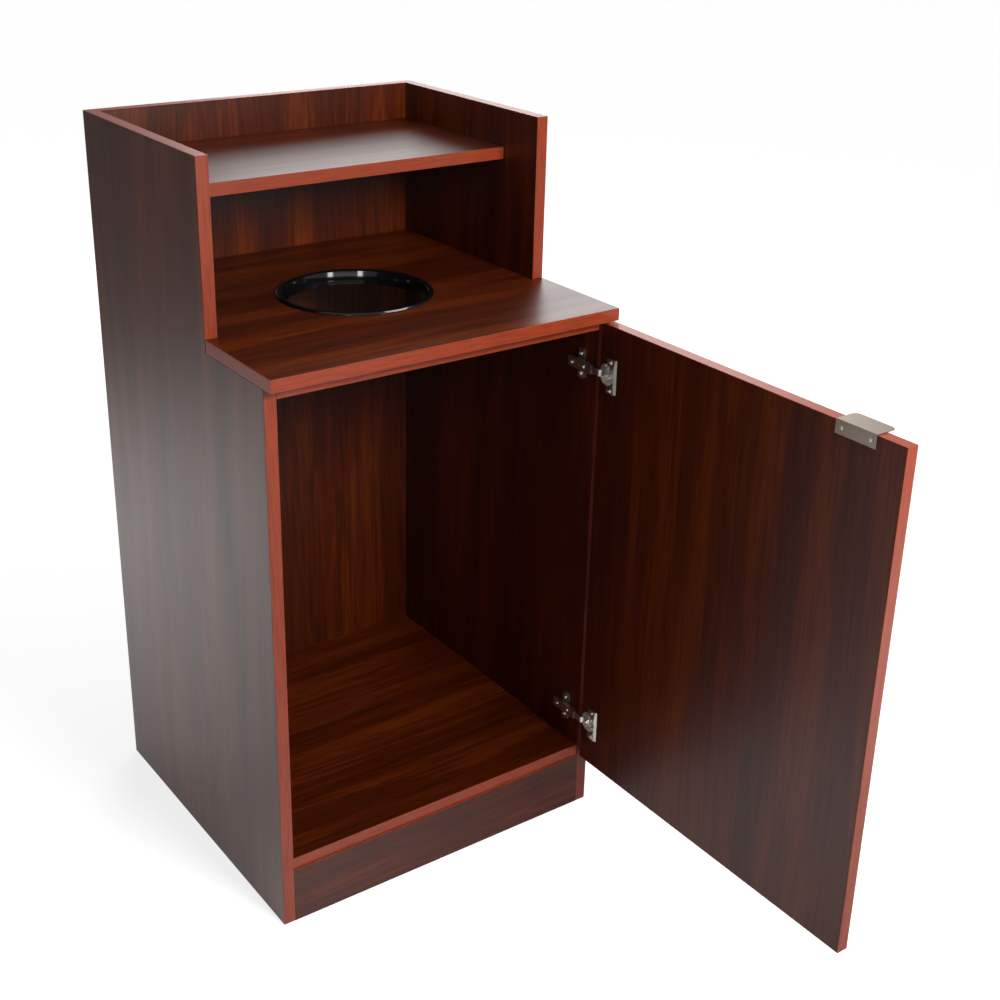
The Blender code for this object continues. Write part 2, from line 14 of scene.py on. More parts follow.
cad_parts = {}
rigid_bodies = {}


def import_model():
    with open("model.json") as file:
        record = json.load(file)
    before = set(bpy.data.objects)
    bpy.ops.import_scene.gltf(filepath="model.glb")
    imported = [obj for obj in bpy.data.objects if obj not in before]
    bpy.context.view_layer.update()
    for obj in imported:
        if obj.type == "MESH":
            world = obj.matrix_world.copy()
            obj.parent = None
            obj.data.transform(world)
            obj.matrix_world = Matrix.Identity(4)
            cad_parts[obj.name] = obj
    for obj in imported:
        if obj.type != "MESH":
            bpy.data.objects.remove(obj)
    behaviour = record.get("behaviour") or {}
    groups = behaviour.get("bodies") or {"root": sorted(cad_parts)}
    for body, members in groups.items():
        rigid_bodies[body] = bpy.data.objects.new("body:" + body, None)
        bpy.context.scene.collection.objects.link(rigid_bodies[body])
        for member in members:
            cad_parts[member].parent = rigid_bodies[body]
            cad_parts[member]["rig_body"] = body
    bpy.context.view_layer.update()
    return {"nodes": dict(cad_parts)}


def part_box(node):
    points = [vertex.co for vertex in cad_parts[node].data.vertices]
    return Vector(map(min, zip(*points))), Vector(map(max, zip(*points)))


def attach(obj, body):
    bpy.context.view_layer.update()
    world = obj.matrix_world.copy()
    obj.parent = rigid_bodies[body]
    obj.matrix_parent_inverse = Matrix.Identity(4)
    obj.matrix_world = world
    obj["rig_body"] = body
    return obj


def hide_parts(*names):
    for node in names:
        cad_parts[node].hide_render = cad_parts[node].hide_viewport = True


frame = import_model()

bl_info = {
    "name": "Waste receptacle enclosure",
    "version": (1, 0, 0),
    "blender": (4, 5, 0),
    "location": "View3D > Sidebar > Enclosure",
    "description": "Dresses the enclosure's boards, banding, drop ring, pull and hinges",
    "category": "Object",
}

MM = 0.001
X, Y, Z = range(3)

UPRIGHT_BOARDS = ("left_side_panel", "right_side_panel", "back_panel", "door_panel")
LEVEL_BOARDS = ("counter_top", "tray_shelf", "floor_panel", "toe_kick", "front_rail", "rear_rail")
UPRIGHT_BANDS = ("left_side_lower_band", "right_side_lower_band", "left_side_upper_band",
                 "right_side_upper_band", "door_band")
LEVEL_BANDS = ("counter_top_band", "tray_shelf_band", "floor_panel_band", "front_rail_band",
               "back_panel_band", "toe_kick_band")
HINGES = ("upper_hinge_", "lower_hinge_")
HINGE_PARTS = ("cup", "arm", "mounting_plate")


def hinge_screws(kind, *ends):
    """Node names of one kind of screw on both hinges."""
    return [hinge + kind + "_screw_" + end for hinge in HINGES for end in ends]


# Screws of one size, by the piece that they become: node names, head height and shank radius
SCREW_SETS = {
    "door_pull_screws": (["door_pull_screw_left", "door_pull_screw_right"], 0.8 * MM, 1.4 * MM),
    "hinge_cup_screws": (hinge_screws("cup", "high", "low"), 1.5 * MM, 1.5 * MM),
    "hinge_plate_screws": (hinge_screws("plate", "high", "low"), 1.8 * MM, 1.75 * MM),
    "hinge_arm_screws": (hinge_screws("arm", "front", "rear"), 1.6 * MM, 2.0 * MM),
}

# Shape of every screw
SCREW_FLAT = 0.66           # flat of the head, in head radii
SCREW_BRIM = 0.42           # height of the head's upright brim, in head heights
SCREW_ROUND = 0.25 * MM     # rounding of the edges
RECESS_SPAN = 1.15          # length of the cross recess's bars, in head radii
RECESS_LIMIT = 0.7          # greatest depth of the cross recess, in head heights

# Profile of the drop ring's lip, in heights of the lip
LIP_SHOULDER = 0.35         # height of the shoulder, outside and in the bore
LIP_BEAD = 0.9              # from the rim in to the crest
LIP_MOUTH = 0.7             # from the bore out to the crest

MERGE = 0.002 * MM                  # points nearer than this are one
EASED_ANGLE = math.radians(35.0)    # edges that bend more than this are rounded
SHARP_ANGLE = math.radians(40.0)    # edges that bend more than this are shaded sharp

# Course of a printed or brushed grain
TONE_STRETCH = 16.0         # length of the laminate's tone bands, in widths
GRAIN_STRETCH = 40.0        # length of its streaks and pores, and of brush lines, in widths
BAND_STRETCH = 22.0         # length of an edge band's streaks, in widths
FLECK_STRETCH = 8.0         # length of a dowel's flecks, in widths
LAMINATE_WANDER = 45 * MM   # how far the laminate's grain strays sideways
DRIFT_SCALE = 7.0           # swings of that straying in each metre across the grain
DRIFT_CALM = 0.3            # the same along the grain, as a share
STREAK_SHARE = 0.40         # weight of the laminate's streaks against its tone bands

# A camera fitted to the photograph, with less shift than the photograph's crop has, to leave other views room
CAMERA_SPOT = (-1.1192, -1.6482, 1.5550)
CAMERA_TURN = math.radians(-35.5685)
CAMERA_RISE = math.radians(22.8368)
CAMERA_ROLL = math.radians(1.1028)
CAMERA_LENS = 53.792
CAMERA_SHIFT = (0.022, -0.050)

# Floor: its size, what polished faces mirror of it, and its lift for the camera nearby and far off
FLOOR_RADIUS = 40.0
FLOOR_SIDES = 64
FLOOR_MIRRORED = 0.15
LIFT_NEAR, LIFT_FAR = 0.78, 0.95
LIFT_START, LIFT_END = 0.6, 3.5     # distances from the origin, between which the lift grows

# Painted reflections: pools where the floor glows for glossy rays only, lit by no lamp, so that polished
# faces mirror them: centre, reach, strength
PAINTED_REFLECTION_POOLS = (
    ((-0.82, 1.5, 0.0), 1.4, 1.42),     # the left side
    ((-0.55, 0.45, 0.0), 0.8, 0.35),    # the left side's foot
    ((-0.35, -0.35, 0.0), 0.75, 0.8),   # the door and the toe kick
    ((1.3, -1.5, 0.0), 1.3, 1.6),       # the door's free edge and the counter's band
)

# Lamps: name, place, width, height, whether it lights what is matt and shows in what is polished, and power.
# The strips and the wide panel behind them only show as reflections, chiefly in the ring and the metal.
# The power of the key is a setting of the stage.
KEY_LAMP = ("soft_key", (0.22, -1.8, 1.92), 0.7, 0.6, True, False)
LAMPS = (
    ("left_fill", (-2.5, 0.2, 1.4), 1.0, 1.0, True, False, 9.0),
    ("backdrop", (2.5, 3.2, 2.0), 2.5, 2.6, True, True, 60.0),
    ("front_strip", (0.48, -2.6, 1.1), 0.4, 1.0, False, True, 16.0),
    ("left_strip", (-1.85, -2.0, 1.17), 0.4, 1.0, False, True, 16.0),
    ("front_panel", (-0.6, -3.2, 1.05), 3.0, 0.9, False, True, 6.0),
    ("overhead", (1.2, 0.1, 2.9), 0.8, 0.8, True, True, 14.0),
)
LAMP_TARGET = (0.0, 0.1, 0.7)
WHITE = (1.0, 1.0, 1.0, 1.0)


def linear(code):
    """Linear colour of an sRGB hex code."""
    parts = [int(code[i:i + 2], 16) / 255 for i in (1, 3, 5)]
    return tuple(c / 12.92 if c <= 0.04045 else ((c + 0.055) / 1.055) ** 2.4 for c in parts)


def colour(title, note, code):
    return FloatVectorProperty(name=title, description=note, default=linear(code), subtype="COLOR",
                               min=0.0, max=1.0)


def length(title, note, size):
    return FloatProperty(name=title, description=note, default=size, unit="LENGTH", precision=5)


class EnclosureFinish(bpy.types.PropertyGroup):
    """Colours and pattern sizes of the finishes."""

    grain_dark: colour("Grain dark", "Darkest streaks of the printed mahogany", "#331002")
    grain_mid: colour("Grain middle", "Ground tone of the printed mahogany", "#4d1905")
    grain_light: colour("Grain light", "Lightest streaks of the printed mahogany", "#672a08")
    band: colour("Edge band", "Ground tone of the edge banding", "#933819")
    band_streak: colour("Edge band streak", "Darker streaks of the edge banding", "#7a2a12")
    ring: colour("Drop ring", "Black of the moulded drop ring", "#0b0b0c")
    pull: colour("Pull", "Tint of the brushed nickel", "#baab9e")
    plating: colour("Plating", "Tint of the plated hinges and screws", "#dcd8d1")
    beech: colour("Dowels", "Tint of the beech dowels", "#c09a6b")
    tone_width: length("Tone width", "Width of the broad light and dark bands of the grain", 55 * MM)
    streak_width: length("Streak width", "Width of the streaks of the grain", 5 * MM)
    pore_width: length("Pore width", "Width of the printed pores", 1.6 * MM)
    flame_turns: FloatProperty(name="Flame turns", default=24.0,
                               description="Phase of the nested flame lines over the tone")
    flame_depth: FloatProperty(name="Flame depth", default=0.025,
                               description="Strength of the nested flame lines")


class EnclosurePieces(bpy.types.PropertyGroup):
    """Sizes of the pieces that the scene shapes itself."""

    board_ease: length("Board edge", "Rounding of a board's edges", 0.3 * MM)
    band_ease: length("Band edge", "Rounding of an edge band's edges", 0.3 * MM)
    metal_ease: length("Metal edge", "Rounding of the pull's and the hinges' edges", 0.25 * MM)
    ring_round: length("Ring rounding", "Rounding of the drop ring's profile", 0.9 * MM)
    ring_rim: length("Ring rim", "Width of the drop ring's lip from its bore to its rim", 10.0 * MM)
    ring_wall: length("Ring wall", "Thickness of the drop ring's sleeve", 3.0 * MM)
    ring_draft: length("Ring draft", "Narrowing of the drop ring's sleeve towards its foot", 4.0 * MM)
    ring_lip: length("Ring lip", "Height of the drop ring's lip above the counter", 3.2 * MM)
    ring_sides: IntProperty(name="Ring sides", description="Facets round the drop ring", default=144, min=24)
    recess_width: length("Recess width", "Width of a screw's cross recess", 0.9 * MM)
    recess_depth: length("Recess depth", "Depth of a screw's cross recess", 0.6 * MM)
    screw_sides: IntProperty(name="Screw sides", description="Facets round a screw", default=24, min=12)


class EnclosureStage(bpy.types.PropertyGroup):
    """Floor and light of the studio."""

    floor: colour("Floor", "Paper floor under the enclosure", "#bdbdbd")
    key: FloatProperty(name="Key light", default=56.0, min=0.0,
                       description="Power of the soft key light")
    ambient: FloatProperty(name="Ambient", default=0.07, min=0.0,
                           description="Strength of the light from all round")
    mirrored: FloatProperty(name="Mirrored", default=0.38, min=0.0,
                            description="Strength of the studio in reflections")


def add(tree, kind, settings=None, inputs=None):
    """Add a node with its settings, and feed its inputs with values or with other nodes' outputs."""
    made = tree.nodes.new(kind)
    for key, value in (settings or {}).items():
        setattr(made, key, value)
    for key, value in (inputs or {}).items():
        if isinstance(value, bpy.types.NodeSocket):
            tree.links.new(value, made.inputs[key])
        else:
            made.inputs[key].default_value = value
    return made


def shade(mat, **inputs):
    """Give a material its shader, and join the shader to the output."""
    tree = mat.node_tree
    shader = add(tree, "ShaderNodeBsdfPrincipled", inputs={k.replace("_", " "): v for k, v in inputs.items()})
    add(tree, "ShaderNodeOutputMaterial", inputs={"Surface": shader.outputs["BSDF"]})
    return mat


def empty_material(name):
    mat = bpy.data.materials.new(name)
    mat.use_nodes = True
    mat.node_tree.nodes.clear()
    return mat


def calc(tree, operation, *values):
    """One step of arithmetic."""
    return add(tree, "ShaderNodeMath", {"operation": operation}, dict(enumerate(values))).outputs[0]


def noise(tree, vector, width, detail, roughness=0.5):
    """Cloudy noise with lumps about as wide as that."""
    return add(tree, "ShaderNodeTexNoise", None,
               {"Vector": vector, "Scale": 1 / width, "Detail": detail, "Roughness": roughness}).outputs


def between(tree, value, low, high, at_low, at_high):
    """Carry a value from one range over to another, held at the ends."""
    return add(tree, "ShaderNodeMapRange", None, {
        "Value": value, "From Min": low, "From Max": high, "To Min": at_low, "To Max": at_high}).outputs[0]


def tones(tree, value, *stops):
    """Colour by a value; each stop is a place and a colour."""
    ramp = add(tree, "ShaderNodeValToRGB", None, {"Fac": value})
    marks = ramp.color_ramp.elements
    marks[0].position = stops[0][0]
    marks[1].position = stops[-1][0]
    for place, _ in stops[1:-1]:
        marks.new(place)
    for mark, (_, tone) in zip(marks, stops):
        mark.color = (*tone, 1.0)
    return ramp.outputs["Color"]


def shaded(tone, share):
    """A colour made darker or lighter by a share."""
    return [part * share for part in tone]


def bumped(tree, height, strength, depth):
    return add(tree, "ShaderNodeBump", None,
               {"Height": height, "Strength": strength, "Distance": depth}).outputs[0]


def scaled(tree, vector, axis, share):
    """Scale a vector along one axis."""
    scale = [1.0, 1.0, 1.0]
    scale[axis] = share
    return add(tree, "ShaderNodeVectorMath", {"operation": "MULTIPLY"}, {0: vector, 1: scale}).outputs[0]


def object_space(tree):
    return add(tree, "ShaderNodeTexCoord").outputs["Object"]


def grain_space(tree, along, longer, wander):
    """Object coordinates that wander across the grain and are squeezed along it."""
    spot = object_space(tree)
    drift = add(tree, "ShaderNodeTexNoise", None,
                {"Vector": scaled(tree, spot, along, DRIFT_CALM), "Scale": DRIFT_SCALE, "Detail": 2.0})
    sway = add(tree, "ShaderNodeVectorMath", {"operation": "MULTIPLY_ADD"},
               {0: drift.outputs["Color"], 1: [wander] * 3, 2: spot})
    return scaled(tree, sway.outputs[0], along, 1.0 / longer)


def laminate(name, finish, along):
    # Melamine laminate: printed mahogany paper pressed against a satin plate. The eye sees broad tone bands,
    # streaks and dark pores under a clear skin that turns pale where it mirrors the studio at a low angle.
    # Real pores are 0.3 mm wide and are drawn coarser, so that they show.
    mat = empty_material(name)
    tree = mat.node_tree
    cloud = grain_space(tree, along, TONE_STRETCH, LAMINATE_WANDER)
    grain = grain_space(tree, along, GRAIN_STRETCH, LAMINATE_WANDER)
    tone = noise(tree, cloud, finish.tone_width, detail=5.0, roughness=0.58)["Fac"]
    streak = noise(tree, grain, finish.streak_width, detail=2.5, roughness=0.55)["Fac"]
    pore = noise(tree, grain, finish.pore_width, detail=1.0)["Fac"]
    wave = calc(tree, "SINE", calc(tree, "MULTIPLY", tone, finish.flame_turns))
    flame = calc(tree, "MULTIPLY_ADD", wave, finish.flame_depth, tone)
    blend = add(tree, "ShaderNodeMix", {"data_type": "FLOAT"}, {"Factor": STREAK_SHARE, 2: flame, 3: streak})
    ground = tones(tree, blend.outputs[0], (0.365, finish.grain_dark), (0.50, finish.grain_mid),
                   (0.635, finish.grain_light))
    open_pore = between(tree, pore, 0.28, 0.46, 0.40, 0.0)
    print_colour = add(tree, "ShaderNodeMix", {"data_type": "RGBA"},
                       {"Factor": open_pore, 6: ground, 7: (*finish.grain_dark, 1.0)})
    return shade(mat, Base_Color=print_colour.outputs[2], Roughness=between(tree, tone, 0.3, 0.7, 0.38, 0.34),
                 IOR=1.44, Normal=bumped(tree, pore, 0.08, 0.1 * MM))


def edge_band(name, finish, along):
    # ABS edge banding: a solid-coloured strip with a printed streak along it, trimmed with a small radius.
    # The eye sees a plain light red line round each board.
    mat = empty_material(name)
    tree = mat.node_tree
    grain = grain_space(tree, along, BAND_STRETCH, 4 * MM)
    streak = noise(tree, grain, 2.2 * MM, detail=3.0, roughness=0.6)["Fac"]
    tint = tones(tree, streak, (0.32, finish.band_streak), (0.55, finish.band))
    return shade(mat, Base_Color=tint, Roughness=between(tree, streak, 0.3, 0.7, 0.46, 0.36), IOR=1.52,
                 Normal=bumped(tree, streak, 0.08, 0.1 * MM))


def moulded_plastic(name, finish):
    # Black ABS from a polished mould: deep black with sharp highlights and a faint ripple.
    mat = empty_material(name)
    tree = mat.node_tree
    spot = object_space(tree)
    ripple = noise(tree, spot, 9 * MM, detail=1.0)["Fac"]
    scuff = noise(tree, spot, 2.5 * MM, detail=4.0)
    tint = add(tree, "ShaderNodeMapRange", {"data_type": "FLOAT_VECTOR"},
               {"Vector": scuff["Color"], 9: shaded(finish.ring, 1.5), 10: list(finish.ring)})
    gloss = between(tree, scuff["Fac"], 0.35, 0.75, 0.07, 0.14)
    return shade(mat, Base_Color=tint.outputs[1], Roughness=gloss, IOR=1.53,
                 Normal=bumped(tree, ripple, 0.05, 0.2 * MM))


def brushed_nickel(name, finish):
    # Nickel on steel sheet, brushed along its length and lacquered: a warm grey with fine lines.
    # Real brush lines are about 0.1 mm apart and are drawn coarser, so that they show.
    mat = empty_material(name)
    tree = mat.node_tree
    grain = grain_space(tree, Y, GRAIN_STRETCH, 0.0)
    line = noise(tree, grain, 0.5 * MM, detail=3.0, roughness=0.7)["Fac"]
    tint = tones(tree, line, (0.25, shaded(finish.pull, 0.72)), (0.60, finish.pull))
    return shade(mat, Base_Color=tint, Metallic=1.0, Roughness=between(tree, line, 0.3, 0.7, 0.42, 0.30),
                 Normal=bumped(tree, line, 0.10, 0.05 * MM))


def plated_steel(name, finish):
    # Pressed steel with bright nickel plating: mirror-like, broken by soft clouds and small press marks.
    mat = empty_material(name)
    tree = mat.node_tree
    cloud = noise(tree, object_space(tree), 4 * MM, detail=5.0, roughness=0.65)["Fac"]
    tint = tones(tree, cloud, (0.30, shaded(finish.plating, 0.8)), (0.62, finish.plating))
    return shade(mat, Base_Color=tint, Metallic=1.0, Roughness=between(tree, cloud, 0.3, 0.7, 0.26, 0.40),
                 Normal=bumped(tree, cloud, 0.06, 0.1 * MM))


def turned_beech(name, finish):
    # Beech rod for dowels: pale, dull wood with short fine flecks.
    mat = empty_material(name)
    tree = mat.node_tree
    grain = grain_space(tree, X, FLECK_STRETCH, 1 * MM)
    fleck = noise(tree, grain, 0.8 * MM, detail=2.0)["Fac"]
    tint = tones(tree, fleck, (0.35, shaded(finish.beech, 0.6)), (0.60, finish.beech))
    return shade(mat, Base_Color=tint, Roughness=0.7, Normal=bumped(tree, fleck, 0.1, 0.1 * MM))


# Finishes by name: what makes each one and, where it has a grain, the axis that it runs along
FINISHES = {
    "mahogany_laminate_upright": (laminate, (Z,)),
    "mahogany_laminate_level": (laminate, (X,)),
    "abs_edge_band_upright": (edge_band, (Z,)),
    "abs_edge_band_level": (edge_band, (X,)),
    "black_abs_polished": (moulded_plastic, ()),
    "satin_brushed_nickel": (brushed_nickel, ()),
    "nickel_plated_steel": (plated_steel, ()),
    "beech_dowel": (turned_beech, ()),
}


def finish_named(name):
    """The finish of that name, made on its first use."""
    maker, axis = FINISHES[name]
    return bpy.data.materials.get(name) or maker(name, bpy.context.scene.enclosure_finish, *axis)


def closed(mesh):
    """Merge doubles, point the faces outwards, and stop if the mesh is open."""
    bm = bmesh.new()
    bm.from_mesh(mesh)
    bmesh.ops.remove_doubles(bm, verts=bm.verts, dist=MERGE)
    bmesh.ops.recalc_face_normals(bm, faces=bm.faces)
    gaps = sum(not edge.is_manifold for edge in bm.edges)
    bm.to_mesh(mesh)
    bm.free()
    if gaps:
        raise RuntimeError("%s has %d open edges" % (mesh.name, gaps))


def ride_for(piece, slot, *nodes):
    """Put a piece on the body of the nodes that it stands for."""
    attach(piece, frame["nodes"][nodes[0]]["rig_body"])
    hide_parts(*nodes)


def eased(node, width, finish, slot, curved):
    """Stand a copy with rounded edges in for a CAD node; a curved one is shaded smoothly."""
    bm = bmesh.new()
    bm.from_mesh(frame["nodes"][node].data)
    bmesh.ops.remove_doubles(bm, verts=bm.verts, dist=MERGE)
    mesh = bpy.data.meshes.new(node + "_eased")
    bm.to_mesh(mesh)
    bm.free()
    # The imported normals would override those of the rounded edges
    if "custom_normal" in mesh.attributes:
        mesh.attributes.remove(mesh.attributes["custom_normal"])
    mesh.polygons.foreach_set("use_smooth", [curved] * len(mesh.polygons))
    mesh.materials.append(finish_named(finish))
    piece = bpy.data.objects.new(node + "_eased", mesh)
    bpy.context.scene.collection.objects.link(piece)
    ease = piece.modifiers.new("ease", "BEVEL")
    ease.width = width
    ease.segments = 2
    ease.limit_method = "ANGLE"
    ease.angle_limit = EASED_ANGLE
    if curved:
        level = piece.modifiers.new("level", "WEIGHTED_NORMAL")
        level.weight = 100
        level.keep_sharp = True
    ride_for(piece, slot, node)
    return piece


def new_tree(name, sizes):
    """A geometry tree with a geometry input and output, a material input and named sizes."""
    tree = bpy.data.node_groups.new(name, "GeometryNodeTree")
    tree.interface.new_socket("Geometry", in_out="OUTPUT", socket_type="NodeSocketGeometry")
    tree.interface.new_socket("Geometry", in_out="INPUT", socket_type="NodeSocketGeometry")
    for title, kind in sizes.items():
        tree.interface.new_socket(title, in_out="INPUT", socket_type=kind)
    tree.interface.new_socket("Finish", in_out="INPUT", socket_type="NodeSocketMaterial")
    return tree, add(tree, "NodeGroupInput").outputs


def turned(tree, profile, about, sides, rounding, ring):
    """Turn a profile of (radius, height) about Z, along a circle of radius about, and round its corners."""
    count = len(profile)
    index = add(tree, "GeometryNodeInputIndex")
    corner = add(tree, "GeometryNodeIndexSwitch", {"data_type": "VECTOR"}, {"Index": index.outputs[0]})
    while len(corner.index_switch_items) < count:
        corner.index_switch_items.new()
    for place, (radius, height) in enumerate(profile):
        out = calc(tree, "SUBTRACT", radius, about)
        down = calc(tree, "MULTIPLY", height, -1.0)
        point = add(tree, "ShaderNodeCombineXYZ", None, {"X": out, "Y": down})
        tree.links.new(point.outputs[0], corner.inputs[place + 1])
    points = add(tree, "GeometryNodePoints", None, {"Count": count, "Position": corner.outputs[0]})
    line = add(tree, "GeometryNodePointsToCurves", None, {"Points": points.outputs[0]})
    loop = add(tree, "GeometryNodeSetSplineCyclic", None, {"Geometry": line.outputs[0], "Cyclic": ring})
    smooth = add(tree, "GeometryNodeFilletCurve", {"mode": "POLY"},
                 {"Curve": loop.outputs[0], "Count": 3, "Radius": rounding, "Limit Radius": True})
    circle = add(tree, "GeometryNodeCurvePrimitiveCircle", None, {"Resolution": sides, "Radius": about})
    swept = add(tree, "GeometryNodeCurveToMesh", None,
                {"Curve": circle.outputs[0], "Profile Curve": smooth.outputs[0]})
    return add(tree, "GeometryNodeMergeByDistance", None,
               {"Geometry": swept.outputs[0], "Distance": MERGE}).outputs[0]


def close_tree(tree, geometry, finish):
    solid = add(tree, "GeometryNodeRealizeInstances", None, {"Geometry": geometry})
    coated = add(tree, "GeometryNodeSetMaterial", None, {"Geometry": solid.outputs[0], "Material": finish})
    add(tree, "NodeGroupOutput", None, {"Geometry": coated.outputs[0]})


def grown(name, mesh, tree, values):
    """Run a geometry tree on a mesh and keep the result as a plain, closed piece."""
    piece = bpy.data.objects.new(name, mesh)
    bpy.context.scene.collection.objects.link(piece)
    step = piece.modifiers.new(tree.name, "NODES")
    step.node_group = tree
    for item in tree.interface.items_tree:
        if item.in_out == "INPUT" and item.name in values:
            step[item.identifier] = values[item.name]
    graph = bpy.context.evaluated_depsgraph_get()
    made = bpy.data.meshes.new_from_object(piece.evaluated_get(graph))
    piece.modifiers.remove(step)
    piece.data = made
    made.name = name
    closed(made)
    made.shade_smooth()
    made.set_sharp_from_angle(angle=SHARP_ANGLE)
    return piece


def float_sockets(*names):
    return dict.fromkeys(names, "NodeSocketFloat")


def ring_tree():
    """Drop ring: a rounded lip that lies on the counter and a sleeve that goes through it."""
    tree, given = new_tree("drop_ring_turning", {
        **float_sockets("Outer Radius", "Inner Radius", "Wall", "Draft", "Seat", "Lip", "Foot", "Rounding"),
        "Sides": "NodeSocketInt", "Centre": "NodeSocketVector"})
    outer = given["Outer Radius"]
    inner = given["Inner Radius"]
    seat = given["Seat"]
    lip = given["Lip"]
    sleeve = calc(tree, "ADD", inner, given["Wall"])
    crest = calc(tree, "ADD", seat, lip)
    shoulder = calc(tree, "MULTIPLY_ADD", lip, LIP_SHOULDER, seat)
    bead = calc(tree, "MULTIPLY_ADD", lip, -LIP_BEAD, outer)
    throat = calc(tree, "SUBTRACT", inner, given["Draft"])
    mouth = calc(tree, "MULTIPLY_ADD", lip, LIP_MOUTH, inner)
    body = turned(tree, [
        (mouth, crest),
        (bead, crest),
        (outer, shoulder),
        (outer, seat),
        (sleeve, seat),
        (sleeve, given["Foot"]),
        (throat, given["Foot"]),
        (inner, shoulder),
    ], inner, given["Sides"], given["Rounding"], True)
    placed = add(tree, "GeometryNodeTransform", None, {"Geometry": body, "Translation": given["Centre"]})
    close_tree(tree, placed.outputs[0], given["Finish"])
    return tree


def screw_tree():
    """Pan-head screws with a cross recess, one on each point, each turned as the driver left it."""
    tree, given = new_tree("pan_head_screws", {
        **float_sockets("Head Radius", "Head Height", "Shank Radius", "Length",
                        "Recess Width", "Recess Depth"),
        "Sides": "NodeSocketInt", "Seed": "NodeSocketInt"})
    head = given["Head Radius"]
    top = given["Head Height"]
    shank = given["Shank Radius"]
    flat = calc(tree, "MULTIPLY", head, SCREW_FLAT)
    brim = calc(tree, "MULTIPLY", top, SCREW_BRIM)
    tip = calc(tree, "MULTIPLY", given["Length"], -1.0)
    body = turned(tree, [
        (0.0, top),
        (flat, top),
        (head, brim),
        (head, 0.0),
        (shank, 0.0),
        (shank, tip),
        (0.0, tip),
    ], head, given["Sides"], SCREW_ROUND, False)
    # The recess is cut by two bars that stand half above the head
    span = calc(tree, "MULTIPLY", head, RECESS_SPAN)
    deep = calc(tree, "MULTIPLY", given["Recess Depth"], 2.0)
    lift = add(tree, "ShaderNodeCombineXYZ", None, {"Z": top}).outputs[0]
    recess = add(tree, "GeometryNodeMeshBoolean", {"operation": "DIFFERENCE", "solver": "EXACT"},
                 {"Mesh 1": body})
    for wide, tall in ((span, given["Recess Width"]), (given["Recess Width"], span)):
        arms = add(tree, "ShaderNodeCombineXYZ", None, {"X": wide, "Y": tall, "Z": deep})
        bar = add(tree, "GeometryNodeMeshCube", None, {"Size": arms.outputs[0]})
        raised = add(tree, "GeometryNodeTransform", None, {"Geometry": bar.outputs[0], "Translation": lift})
        tree.links.new(raised.outputs[0], recess.inputs["Mesh 2"])
    facing = add(tree, "GeometryNodeInputNamedAttribute", {"data_type": "FLOAT_VECTOR"}, {"Name": "facing"})
    aim = add(tree, "FunctionNodeAlignRotationToVector", {"axis": "Z"}, {"Vector": facing.outputs[0]})
    chance = add(tree, "FunctionNodeRandomValue", {"data_type": "FLOAT"},
                 {2: 0.0, 3: math.pi / 2, "Seed": given["Seed"]})
    drive = add(tree, "FunctionNodeAxisAngleToRotation", None,
                {"Axis": (0.0, 0.0, 1.0), "Angle": chance.outputs[1]})
    turn = add(tree, "FunctionNodeRotateRotation", {"rotation_space": "LOCAL"},
               {"Rotation": aim.outputs[0], "Rotate By": drive.outputs[0]})
    screws = add(tree, "GeometryNodeInstanceOnPoints", None,
                 {"Points": given["Geometry"], "Instance": recess.outputs[0], "Rotation": turn.outputs[0]})
    close_tree(tree, screws.outputs[0], given["Finish"])
    return tree


class ENCLOSURE_OT_boards(bpy.types.Operator):
    """Dress the boards in mahogany laminate with eased edges"""

    bl_idname = "enclosure.boards"
    bl_label = "Boards"

    def execute(self, context):
        width = context.scene.enclosure_pieces.board_ease
        for node in UPRIGHT_BOARDS:
            eased(node, width, "mahogany_laminate_upright", "laminate", False)
        for node in LEVEL_BOARDS:
            eased(node, width, "mahogany_laminate_level", "laminate", False)
        return {"FINISHED"}


class ENCLOSURE_OT_bands(bpy.types.Operator):
    """Dress the edge banding of the boards"""

    bl_idname = "enclosure.bands"
    bl_label = "Edge banding"

    def execute(self, context):
        width = context.scene.enclosure_pieces.band_ease
        for node in UPRIGHT_BANDS:
            eased(node, width, "abs_edge_band_upright", "edge_banding", False)
        for node in LEVEL_BANDS:
            eased(node, width, "abs_edge_band_level", "edge_banding", False)
        return {"FINISHED"}


class ENCLOSURE_OT_drop_ring(bpy.types.Operator):
    """Turn the drop ring"""

    bl_idname = "enclosure.drop_ring"
    bl_label = "Drop ring"

    def execute(self, context):
        sizes = context.scene.enclosure_pieces
        low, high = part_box("drop_ring")
        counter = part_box("counter_top")[1].z
        outer = (high.x - low.x) / 2
        centre = (low + high) / 2
        seat = high.z - sizes.ring_lip
        if seat < counter:
            raise RuntimeError("the drop ring's lip is sunk in the counter")
        ring = grown("drop_ring_turned", bpy.data.meshes.new("drop_ring_seed"), ring_tree(), {
            "Outer Radius": outer,
            "Inner Radius": outer - sizes.ring_rim,
            "Wall": sizes.ring_wall,
            "Draft": sizes.ring_draft,
            "Seat": seat,
            "Lip": sizes.ring_lip,
            "Foot": low.z,
            "Rounding": sizes.ring_round,
            "Sides": sizes.ring_sides,
            "Centre": (centre.x, centre.y, 0.0),
            "Finish": finish_named("black_abs_polished"),
        })
        ride_for(ring, "black_plastic", "drop_ring")
        return {"FINISHED"}


class ENCLOSURE_OT_pull(bpy.types.Operator):
    """Dress the door's edge pull in brushed nickel"""

    bl_idname = "enclosure.pull"
    bl_label = "Edge pull"

    def execute(self, context):
        width = context.scene.enclosure_pieces.metal_ease
        eased("door_pull", width, "satin_brushed_nickel", "brushed_nickel", True)
        return {"FINISHED"}


